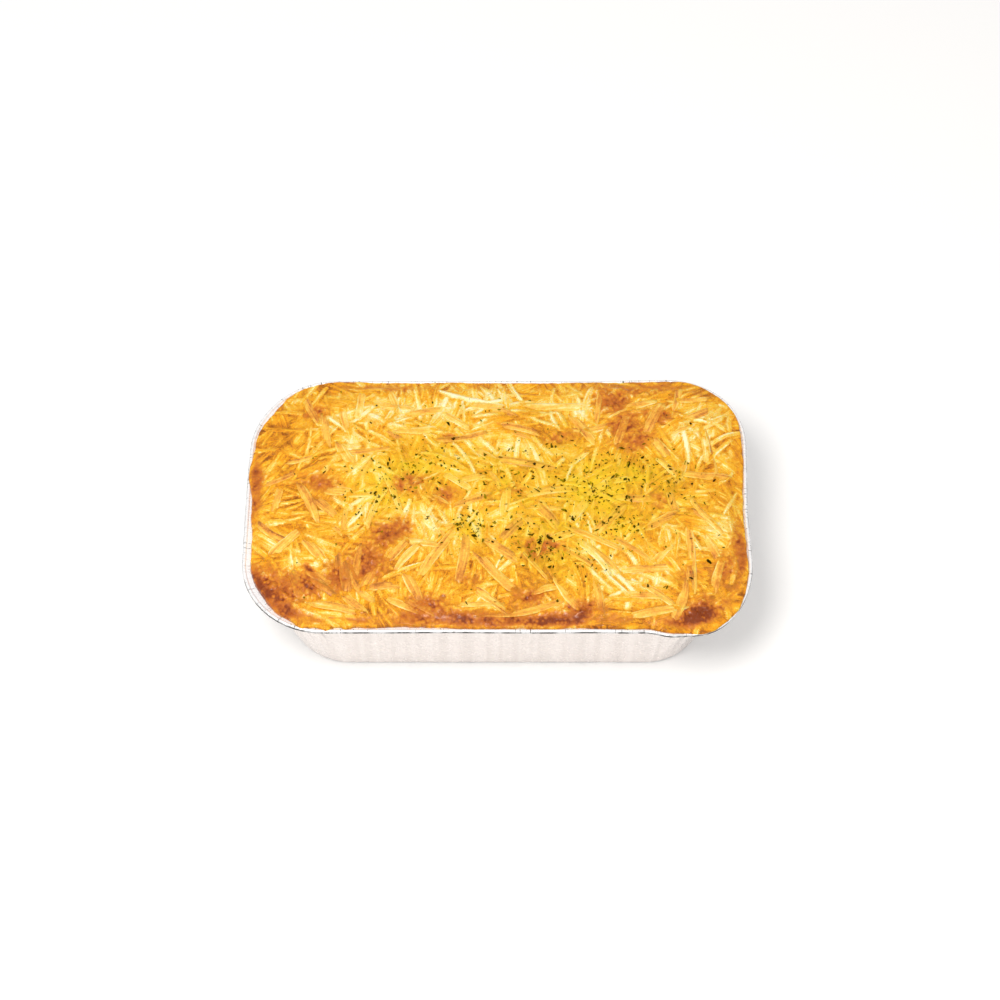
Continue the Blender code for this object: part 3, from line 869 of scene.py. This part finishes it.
def melted_meal(height, tone, brown, grain, dust):
    """The meal: its melted top, its edge rolled over the flange, and its side down in the tray."""
    start = SPILL_FURTHEST + EDGE_ROUND
    around = border_length(MEAL_CELLS)
    spots = border_spots(np.arange(around), MEAL_CELLS)
    rim_x, rim_y = on_outline_grid(*spots, MEAL_CELLS, RIM)
    out_x, out_y = outward(RIM, rim_x, rim_y)
    drawn_in = spill_inset(rim_x, rim_y)
    folds = PLEAT * pleat_depth(*spots, MEAL_CELLS)

    def ring(inside, z=None):
        """The border drawn in from the rim, at a height or on the melted top."""
        x = rim_x - out_x * inside
        y = rim_y - out_y * inside
        return x, y, from_map(height, x, y) if z is None else z + 0 * x

    def top(column, row):
        x, y = on_outline_grid(column, row, MEAL_CELLS, inset(RIM, start))
        return *dented(x, y, from_map(height, x, y)), {}

    def border(column, row):
        return *dented(*rings[row, :, column % around].T), {}

    x, y = on_outline_grid(*spots, MEAL_CELLS, inset(RIM, start))
    rings = [(x, y, from_map(height, x, y))]
    for share in np.linspace(0, 1, EDGE_RINGS)[1:]:
        rings.append(ring(start + (drawn_in - SPILL_FURTHEST) * share))
    edge_z = rings[-1][2]
    lip = TRAY_HEIGHT - FLANGE_DROP
    roll_back = np.sqrt(np.clip((ROLL / 2) ** 2 - (drawn_in - ROLL / 2) ** 2, 0, None))
    over_flange = np.maximum(lip, TRAY_HEIGHT - ROLL / 2 + roll_back) - SUNK
    neck = FLANGE + FOIL + GAP
    rings += [
        ring(drawn_in + 0.45 * EDGE_ROUND, edge_z - 0.14),
        ring(drawn_in + 0.12, 0.5 * (edge_z + over_flange)),
        ring(drawn_in - 0.12, over_flange),
        ring(neck + folds / 2, lip - SUNK),
        ring(neck + folds, TRAY_HEIGHT - NECK_DROP + 0.5),
        ring(neck + SHOULDER + folds, TRAY_HEIGHT - SHOULDER_DROP + 0.5),
    ]
    x, y = on_outline_grid(*spots, MEAL_CELLS, inset(BASE, 2))
    rings = np.array([*rings, (x, y, 0 * x + PANEL_LIFT + FOIL + GAP)])

    corner_cells, along, across = MEAL_CELLS
    bm = bmesh.new()
    grid_piece(bm, 2 * corner_cells + along, 2 * corner_cells + across, top)
    grid_piece(bm, around, len(rings) - 1, border)
    meal = put_in_scene("melted_cheese", closed_mesh(bm, "melted_cheese"))
    x, y, z = points_of(meal.data)
    paint(meal, "tone", from_map(tone, x, y))
    paint(meal, "brown", from_map(brown, x, y))
    paint(meal, "dust", from_map(dust, x, y))
    paint(meal, "grain", np.stack([from_map(part, x, y) for part in grain], axis=1))
    return meal


# Shreds that lie on the melted top

SHRED_AROUND = 12
SHRED_ALONG = 8
LAID_WIDTH = 1.48
# How much paler a laid shred's edge is: a painted highlight
LAID_EDGE_HIGHLIGHT = 0.32
LAID_SEED = 90


def shred_pattern():
    """One straight shred as a unit tube, closed at both ends, to be copied and bent."""
    def place(column, row):
        turn = column / SHRED_AROUND * 2 * math.pi
        return np.cos(turn), np.sin(turn), row / SHRED_ALONG * 2 - 1, {}

    bm = bmesh.new()
    grid_piece(bm, SHRED_AROUND, SHRED_ALONG, place)
    return closed_mesh(bm, "shred_pattern", smooth_ends=True)


def lay_shreds(name, shreds, pattern, bed, maps, seed):
    """Copies the pattern once for each shred, and bends each copy to lie half sunk in the melted top."""
    rng = random.Random(seed)
    tone_map, brown_map, dust = maps
    unit_x, unit_y, share = points_of(pattern)
    turn = np.arctan2(unit_y, unit_x)
    side = np.sign(np.cos(turn)) * np.abs(np.cos(turn)) ** 0.6
    level = np.sign(np.sin(turn)) * (1 - np.abs(side) ** 5)
    trough = np.where(level > 0.3, 1.3 * side ** 4 * (1 - side ** 2) - 0.2, 0)
    blunt = np.sqrt(np.clip(1 - np.abs(share) ** 14, 0.4, 1))
    edge_highlight_line = smooth_step((np.abs(side) - 0.7) / 0.15)
    places = []
    marks = {"tone": [], "brown": [], "dust": [], "grain": []}
    for shred in shreds:
        # Its own section, tapered to both ends
        thick = 0.2 + shred.width * rng.uniform(0.09, 0.14)
        taper_start = rng.uniform(0.0, 0.35)
        taper_end = rng.uniform(0.0, 0.35)
        taper = blunt * (1 - np.where(share < 0, taper_start, taper_end) * np.abs(share) ** 4)
        wobble = 1 + 0.1 * np.sin(share * rng.uniform(2, 5) + rng.uniform(0, 6))
        across = side * shred.width * LAID_WIDTH / 2 * taper * wobble
        slant = rng.uniform(-0.8, 0.8) * shred.width
        along = share * shred.length / 2 + slant * side * np.abs(share) ** 6 * 0.5
        rise = (level + trough) * thick * taper

        # Twisted, bent and kept off the edge
        twist = rng.uniform(-0.35, 0.35) * share + rng.uniform(-0.15, 0.15)
        twisted = across * np.cos(twist) - rise * np.sin(twist)
        rise = across * np.sin(twist) + rise * np.cos(twist)
        x, y = on_shred(shred, share, along, twisted)
        out_x, out_y = outward(RIM, x, y)
        back = np.maximum(SPILL_FURTHEST + 1.2 - depth_inside(RIM, x, y), 0)
        x = x - out_x * back
        y = y - out_y * back

        # Laid on the bed along its spine, with its ends sunk
        ends_dip = rng.uniform(0.2, 0.9) * np.abs(share) ** 3
        lift = rng.uniform(-0.1, 0.15) + (0.12 if shred.length > 15 else 0)
        spine = on_shred(shred, share, share * shred.length / 2, 0)
        z = from_map(bed, *spine) + rise + lift - ends_dip
        places.append(np.stack(dented(x, y, z), axis=1))

        # Its own tone, with a painted highlight along its edges, which fades into the cheese under it
        core = 0.06 * np.sin(4 * share + rng.uniform(0, 6)) + 0.05 * np.sin(9 * share + rng.uniform(0, 6))
        melted = rng.uniform(0.1, 0.4) + 0.5 * np.abs(share) ** 3
        browned = from_map(brown_map, x, y)
        own = 0.24 + 0.62 * shred.tone + core - LAID_EDGE_HIGHLIGHT * edge_highlight_line
        own = own + 0.4 * np.clip(browned - 0.2, 0, 0.6)
        marks["tone"].append(own + (from_map(tone_map, x, y) - own) * melted)
        marks["brown"].append(browned * (0.5 + 0.4 * melted) + 0.3 * max(0, shred.tone - 0.6))
        marks["dust"].append(from_map(dust, x, y))
        marks["grain"].append(np.stack([along, across, np.full(len(along), rng.uniform(0, 900))], axis=1))
    return shaped_copies(name, pattern, places, marks)


def raised_by(shreds, bed):
    """The bed with each shred's back on it, which herb flecks lie on."""
    top = bed.copy()
    for shred, there, _, across, end in round_shreds(shreds, 2):
        top[there] = np.maximum(top[there], bed[there] + dome(across, end) * shred.width * 0.42)
    return top


def fleck_pattern():
    """A unit chip, to be flattened and given an uneven outline."""
    bm = bmesh.new()
    bmesh.ops.create_circle(bm, cap_ends=True, segments=7, radius=1)
    lifted = bmesh.ops.extrude_face_region(bm, geom=bm.faces[:])["geom"]
    raised = [item for item in lifted if isinstance(item, bmesh.types.BMVert)]
    bmesh.ops.translate(bm, verts=raised, vec=(0, 0, 1))
    bmesh.ops.recalc_face_normals(bm, faces=bm.faces)
    return mesh_from(bm, "fleck_pattern")


def herb_flecks(name, top):
    """Flecks of dried herb, scattered in drifts over the cheese."""
    rng = random.Random(HERB_SEED)
    pattern = fleck_pattern()
    unit_x, unit_y, unit_z = points_of(pattern, 1)
    turn = np.arctan2(unit_y, unit_x)
    places = []
    tones = []
    for drift_x, drift_y, spread, count in HERB_DRIFTS:
        for _ in range(round(HERB_AMOUNT * count)):
            x = rng.gauss(drift_x, spread)
            y = rng.gauss(drift_y, spread * 0.9)
            if depth_inside(RIM, x, y) < HERB_MARGIN:
                continue
            length = 0.25 + 0.7 * rng.random() ** 2.1
            if rng.random() < 0.08:
                length *= 1.6
            width = length * rng.uniform(0.22, 0.6)
            uneven = 1 + 0.3 * np.sin(turn * 2 + rng.uniform(0, 6)) * rng.random()
            uneven = uneven + 0.25 * np.sin(turn * 3 + rng.uniform(0, 6))
            heading = rng.uniform(0, 2 * math.pi)
            off_x, off_y = turned(unit_x * length * uneven, unit_y * width * uneven, heading)
            tilt_x = rng.uniform(-0.35, 0.35)
            tilt_y = rng.uniform(-0.35, 0.35)
            bed = from_map(top, x + off_x, y + off_y) * 0.6 + from_map(top, np.array(x), np.array(y)) * 0.4
            z = bed + 0.12 + off_x * tilt_x + off_y * tilt_y + (unit_z - 1) * FLECK_THICKNESS
            places.append(np.stack(dented(x + off_x, y + off_y, z), axis=1))
            tones.append(np.full(len(turn), rng.random()))
    return shaped_copies(name, pattern, places, {"tone": tones})


# Materials

def linear(code):
    """A colour written as six hex digits, as the linear numbers that a shader takes."""
    channels = [int(code[i:i + 2], 16) / 255 for i in (0, 2, 4)]
    return tuple(c / 12.92 if c < 0.04045 else ((c + 0.055) / 1.055) ** 2.4 for c in channels) + (1,)


class Nodes:
    """A short way to add nodes to one tree and join them up.

    A value that a method takes is a constant or another node's output.
    """

    def __init__(self, tree):
        self.tree = tree

    def fill(self, node, values):
        """Gives a node's inputs constants, or joins other nodes' outputs to them."""
        for name, value in values.items():
            if isinstance(value, bpy.types.NodeSocket):
                self.tree.links.new(value, node.inputs[name])
            else:
                node.inputs[name].default_value = value

    def add(self, kind, values=None, **settings):
        node = self.tree.nodes.new(kind)
        for name, value in settings.items():
            setattr(node, name, value)
        self.fill(node, values or {})
        return node

    def maths(self, operation, first, second=0.0, clamp=False):
        node = self.add("ShaderNodeMath", {0: first, 1: second}, operation=operation, use_clamp=clamp)
        return node.outputs[0]

    def plus(self, first, second, clamp=False):
        return self.maths("ADD", first, second, clamp)

    def minus(self, first, second):
        return self.maths("SUBTRACT", first, second)

    def times(self, first, second, clamp=False):
        return self.maths("MULTIPLY", first, second, clamp)

    def spread(self, value, low, high, out_low=0.0, out_high=1.0):
        """A value brought from one range to another, and kept inside the second."""
        given = {"Value": value, "From Min": low, "From Max": high, "To Min": out_low, "To Max": out_high}
        return self.add("ShaderNodeMapRange", given, interpolation_type="SMOOTHSTEP").outputs["Result"]

    def ramp(self, value, stops):
        node = self.add("ShaderNodeValToRGB", {"Fac": value})
        elements = node.color_ramp.elements
        ends = (elements[0], elements[1])
        for element, (position, code) in zip(ends, (stops[0], stops[-1])):
            element.position = position
            element.color = linear(code)
        for position, code in stops[1:-1]:
            elements.new(position).color = linear(code)
        return node.outputs["Color"]

    def place(self):
        return self.add("ShaderNodeTexCoord").outputs["Object"]

    def noise(self, pitch, detail=2.0, roughness=0.5, vector=None):
        """Noise whose lumps are about a pitch across, in millimetres."""
        given = {"Scale": 1 / (pitch * MM), "Detail": detail, "Roughness": roughness}
        given["Vector"] = vector or self.place()
        return self.add("ShaderNodeTexNoise", given).outputs["Fac"]

    def noise_along(self, path, pitch, detail):
        """Noise that varies only with how far along a path a point is."""
        given = {"W": path, "Scale": 1 / pitch, "Detail": detail}
        return self.add("ShaderNodeTexNoise", given, noise_dimensions="1D").outputs["Fac"]

    def cells(self, pitch):
        """How far a point is from the middle of its cell."""
        given = {"Vector": self.place(), "Scale": 1 / (pitch * MM)}
        return self.add("ShaderNodeTexVoronoi", given).outputs["Distance"]

    def attribute(self, name, output="Fac"):
        return self.add("ShaderNodeAttribute", attribute_name=name).outputs[output]

    def mix(self, share, first, second):
        return self.add("ShaderNodeMix", {0: share, 6: first, 7: second}, data_type="RGBA").outputs[2]

    def bump(self, height, strength, depth):
        """The normal that a fine relief gives, whose depth is in millimetres."""
        given = {"Height": height, "Strength": strength, "Distance": depth * MM}
        return self.add("ShaderNodeBump", given).outputs["Normal"]


def new_material(name):
    """A material, its nodes and its shader."""
    material = bpy.data.materials.new(name)
    material.use_nodes = True
    return material, Nodes(material.node_tree), material.node_tree.nodes["Principled BSDF"]


CHEESE_TONES = (
    (0.0, "FFF4C4"),
    (0.16, "FFE388"),
    (0.34, "FEC942"),
    (0.5, "F9B01E"),
    (0.66, "EB9A18"),
    (0.82, "CC7A14"),
    (1.0, "9A5608"),
)
SHRED_TONES = (
    (0.0, "FFF2BC"),
    (0.2, "FFE08A"),
    (0.38, "FDCC5A"),
    (0.55, "F8B646"),
    (0.7, "E89E3E"),
    (0.85, "C87A32"),
    (1.0, "9C6028"),
)
BROWNING = (
    (0.0, "F4A828"),
    (0.3, "E89824"),
    (0.5, "DA841E"),
    (0.7, "C86E1A"),
    (0.85, "B05810"),
    (1.0, "8C3C08"),
)


def cheese_group():
    """The colour, roughness and fine relief of melted cheese, from how golden and how browned it is."""
    group = bpy.data.node_groups.new("melted_cheese", "ShaderNodeTree")
    for name in ("Tone", "Browning", "Streaks", "Dust", "Unevenness", "Laid Shreds"):
        group.interface.new_socket(name, in_out="INPUT", socket_type="NodeSocketFloat")
    group.interface.new_socket("Color", in_out="OUTPUT", socket_type="NodeSocketColor")
    for name in ("Roughness", "Height", "Oil"):
        group.interface.new_socket(name, in_out="OUTPUT", socket_type="NodeSocketFloat")
    nodes = Nodes(group)
    given = nodes.add("NodeGroupInput").outputs
    result = nodes.add("NodeGroupOutput")

    # How golden it is, with a lemon tint where herb dust lies
    mottle = nodes.times(nodes.minus(nodes.noise(2.4, 3), 0.5), given["Unevenness"])
    grain = nodes.times(nodes.minus(nodes.noise(0.7, 3), 0.5), given["Unevenness"])
    tone = nodes.plus(given["Tone"], nodes.times(mottle, 0.5))
    tone = nodes.plus(tone, nodes.times(given["Streaks"], 1.6))
    tone = nodes.plus(tone, nodes.plus(nodes.times(grain, 0.6), 0.03), True)
    cheese = nodes.mix(given["Laid Shreds"], nodes.ramp(tone, CHEESE_TONES), nodes.ramp(tone, SHRED_TONES))
    dusted = nodes.mix(nodes.times(given["Dust"], 0.5, True), cheese, linear("F4D020"))

    # How browned it is, with beads in places, whose middles are painted paler as a highlight and whose
    # borders are painted darker as shade
    brown = nodes.plus(given["Browning"], nodes.times(mottle, 0.5))
    brown = nodes.plus(brown, nodes.times(grain, 0.35))
    cooked = nodes.spread(brown, 0.16, 0.62)
    pitted = nodes.cells(1.6)
    bubbly = nodes.spread(nodes.noise(4, 2), 0.45, 0.62, 0.0, 0.9)
    bead_shading = nodes.times(nodes.minus(pitted, 0.5), bubbly)
    brown = nodes.plus(brown, nodes.times(bead_shading, cooked))

    relief = nodes.times(nodes.times(pitted, cooked), -1.5)
    relief = nodes.plus(relief, nodes.times(nodes.noise(0.8, 4, 0.6), 0.55))
    oily = nodes.spread(nodes.noise(1.6, 2), 0.52, 0.7, 0.0, 0.4)
    nodes.fill(result, {
        "Color": nodes.mix(cooked, dusted, nodes.ramp(brown, BROWNING)),
        "Roughness": nodes.spread(nodes.noise(5, 2), 0.35, 0.65, 0.26, 0.44),
        "Height": nodes.plus(relief, nodes.times(given["Streaks"], -0.9)),
        "Oil": nodes.maths("MAXIMUM", oily, nodes.times(cooked, 0.22)),
    })
    return group


def cheese_material(name, group, streaked, uneven, laid):
    """Melted cheese, with fine streaks that follow the run of its strands."""
    material, nodes, shader = new_material(name)
    run = {"Vector": nodes.attribute("grain", "Vector"), "Scale": (0.14 * MM, 1.7 * MM, MM)}
    run = nodes.add("ShaderNodeMapping", run, vector_type="POINT").outputs["Vector"]
    fine = nodes.times(nodes.noise(1, 3, 0.55, run), 0.55)
    broad = nodes.times(nodes.noise(2.6, 2, 0.5, run), 0.75)
    look = nodes.add("ShaderNodeGroup", node_tree=group)
    nodes.fill(look, {
        "Tone": nodes.attribute("tone"),
        "Browning": nodes.attribute("brown"),
        "Streaks": nodes.times(nodes.minus(nodes.plus(fine, broad), 0.65), streaked),
        "Dust": nodes.attribute("dust"),
        "Unevenness": uneven,
        "Laid Shreds": laid,
    })
    nodes.fill(shader, {
        "Base Color": look.outputs["Color"],
        "Roughness": look.outputs["Roughness"],
        "Coat Weight": look.outputs["Oil"],
        "Normal": nodes.bump(look.outputs["Height"], 0.55, 0.35),
        "Coat Roughness": 0.16,
        "Subsurface Weight": 0.3,
        "Subsurface Radius": (1.0, 0.5, 0.1),
        "Subsurface Scale": 0.9 * MM,
        "Specular IOR Level": 0.25,
        "IOR": 1.45,
    })
    return material


def foil_material():
    """Pressed foil, with painted shade in its pleats, under the rolled edge, along its foot, in soft bands
    along its flutes and in dark marks at the crimps of its rim, whose rolled edge and flange are painted
    whiter as a highlight.
    """
    material, nodes, shader = new_material("pressed_foil")
    path, rim, under, pleat = (nodes.attribute(name) for name in ("path", "rim", "under", "pleat"))
    tint = nodes.mix(nodes.noise(9, 3), linear("E9E1DD"), linear("EFE9E5"))
    # Painted shade: soft darker bands that follow the flutes along the wall
    flute_shade = nodes.spread(nodes.noise_along(path, 5, 2), 0.35, 0.65, 0.0, 0.55)
    tint = nodes.mix(flute_shade, tint, linear("DED6D1"))
    # Painted highlight: the rolled edge and flange get a whiter tint and less metal, so that they read
    # bright white
    tint = nodes.mix(rim, tint, linear("FCFBFB"))
    # Painted shade: dark marks at the crimps along the rim, which also dent the bump
    crimp_shade = nodes.times(nodes.spread(nodes.noise_along(path, 0.8, 2), 0.58, 0.66), rim)
    crimp_shade = nodes.times(crimp_shade, nodes.spread(nodes.noise(1.6, 2), 0.45, 0.6))
    busy = nodes.spread(nodes.noise_along(path, 23, 1), 0.35, 0.6, 0.2, 0.9)
    tint = nodes.mix(nodes.times(crimp_shade, busy), tint, linear("504E4C"))
    # Painted shade: the line under the rolled edge and along the foot, uneven along the rim
    line = nodes.spread(nodes.noise_along(path, 8, 3), 0.35, 0.6, 0.3, 1.0)
    tint = nodes.mix(nodes.times(under, line), tint, linear("363432"))
    # Painted shade in the folds of the corner pleats
    pleat_shade = nodes.spread(pleat, 0.5, 0.95, 0.0, 0.7)
    creases = nodes.maths("ABSOLUTE", nodes.minus(nodes.noise(6, 2, 0.4), 0.5))
    nodes.fill(shader, {
        "Base Color": nodes.mix(pleat_shade, tint, linear("7C7876")),
        # Less metal on the rim and flange, for their painted highlight
        "Metallic": nodes.spread(rim, 0.0, 1.0, 1.0, 0.3),
        "Roughness": nodes.spread(nodes.noise(3, 3), 0.3, 0.7, 0.22, 0.36),
        "Normal": nodes.bump(nodes.plus(creases, nodes.times(crimp_shade, -0.8)), 0.05, 0.5),
    })
    return material


def herb_material():
    """Dried herb, each fleck of its own shade."""
    material, nodes, shader = new_material("dried_herb")
    uneven = nodes.times(nodes.minus(nodes.noise(0.5, 2), 0.5), 0.5)
    shade = nodes.plus(nodes.attribute("tone"), uneven, True)
    stops = ((0.0, "2E2400"), (0.4, "4E4000"), (0.75, "7A6A02"), (1.0, "A88E08"))
    nodes.fill(shader, {
        "Base Color": nodes.ramp(shade, stops),
        "Normal": nodes.bump(nodes.noise(0.35, 2), 0.5, 0.1),
        "Roughness": 0.9,
        "Specular IOR Level": 0.05,
    })
    return material


def floor_material():
    """A white studio floor, bright enough to match the photo's background."""
    material, nodes, shader = new_material("studio_white")
    nodes.fill(shader, {
        "Base Color": (0.86, 0.845, 0.83, 1),
        "Roughness": 0.6,
        "Specular IOR Level": 0.2,
        "Emission Color": (1, 1, 1, 1),
        "Emission Strength": 0.2,
    })
    return material


def wear(obj, material):
    """Gives a piece its material, and lets it ride on the part's one body."""
    obj.data.materials.clear()
    obj.data.materials.append(material)
    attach(obj, "root")


# The studio

CAMERA_TARGET = Vector((1.1, 1.0, 46)) * MM
CAMERA_DISTANCE = 1100 * MM
CAMERA_ELEVATION = 55
CAMERA_FOCAL = 99.58


def studio():
    """A pale floor, soft light from above and a camera at the photo's angle."""
    bm = bmesh.new()
    bmesh.ops.create_grid(bm, x_segments=1, y_segments=1, size=3)
    floor = put_in_scene("floor", mesh_from(bm, "floor"))
    floor.data.materials.append(floor_material())

    world = bpy.data.worlds.new("studio")
    world.use_nodes = True
    nodes = Nodes(world.node_tree)
    aim = nodes.add("ShaderNodeTexCoord").outputs["Generated"]
    height = nodes.add("ShaderNodeSeparateXYZ", {"Vector": aim}).outputs["Z"]
    greys = ((0.0, "ACACAC"), (0.35, "C2C2C2"), (0.6, "ECECEC"), (1.0, "FFFFFF"))
    nodes.fill(world.node_tree.nodes["Background"], {"Color": nodes.ramp(height, greys), "Strength": 0.77})
    bpy.context.scene.world = world
    bpy.context.scene.view_settings.view_transform = "Standard"

    lamps = (
        ("key", (-0.24, -0.4, 1.0), 0.36, 6.4, (1.0, 0.985, 0.96)),
        ("fill", (-0.1, -1.0, 0.7), 1.0, 0.9, (1.0, 0.99, 0.98)),
    )
    for name, place, size, power, colour in lamps:
        light = bpy.data.lights.new(name, "AREA")
        light.shape = "DISK"
        light.size = size
        light.energy = power
        light.color = colour
        lamp = put_in_scene(name, light)
        lamp.location = place
        lamp.rotation_euler = (CAMERA_TARGET - Vector(place)).to_track_quat("-Z", "Y").to_euler()

    camera = put_in_scene("camera", bpy.data.cameras.new("camera"))
    tilt = math.radians(CAMERA_ELEVATION)
    away = Vector((0, -math.cos(tilt), math.sin(tilt)))
    camera.location = CAMERA_TARGET + away * CAMERA_DISTANCE
    camera.rotation_euler = (-away).to_track_quat("-Z", "Y").to_euler()
    camera.data.lens = CAMERA_FOCAL
    camera.data.sensor_width = 36
    bpy.context.scene.camera = camera


def main():
    studio()
    group = cheese_group()

    tray = foil_tray()
    wear(tray, foil_material())
    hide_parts("foil_tray")

    flow = FLOW_TURN * map_noise(FLOW_PITCH, 80)
    browned = browning_map(depth_inside(RIM, map_x, map_y))
    lying = [Shred(*row) for row in LONG_SHREDS]
    small = fill_shreds()
    small += scattered_shreds(random.Random(SMALL_SEED), *SMALL_SHREDS, SMALL_MARGIN, flow)
    lying += [shred for shred in small if most_under(browned, shred) < TOO_BROWN]
    height, tone, brown, grain = melted_map(flow, browned, lying)
    dust = dust_map()
    bed = blurred(height, 0.9)
    meal = melted_meal(skirted(height, lying), tone, brown, grain, dust)
    wear(meal, cheese_material("melted_cheese", group, 0.9, 0.9, 0.0))
    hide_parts("baked_meal")

    pattern = shred_pattern()
    kinds = (
        ("pale_shreds", 0.0, 0.3),
        ("golden_shreds", 0.3, 0.58),
        ("toasted_shreds", 0.58, 1.0),
    )
    for number, (name, low, high) in enumerate(kinds):
        chosen = [shred for shred in lying if low <= shred.tone < high]
        piece = lay_shreds(name, chosen, pattern, bed, (tone, brown, dust), LAID_SEED + number)
        wear(piece, cheese_material(name, group, 0.85, 0.8, 1.0))

    flecks = herb_flecks("herb_flecks", raised_by(lying, bed))
    wear(flecks, herb_material())


main()
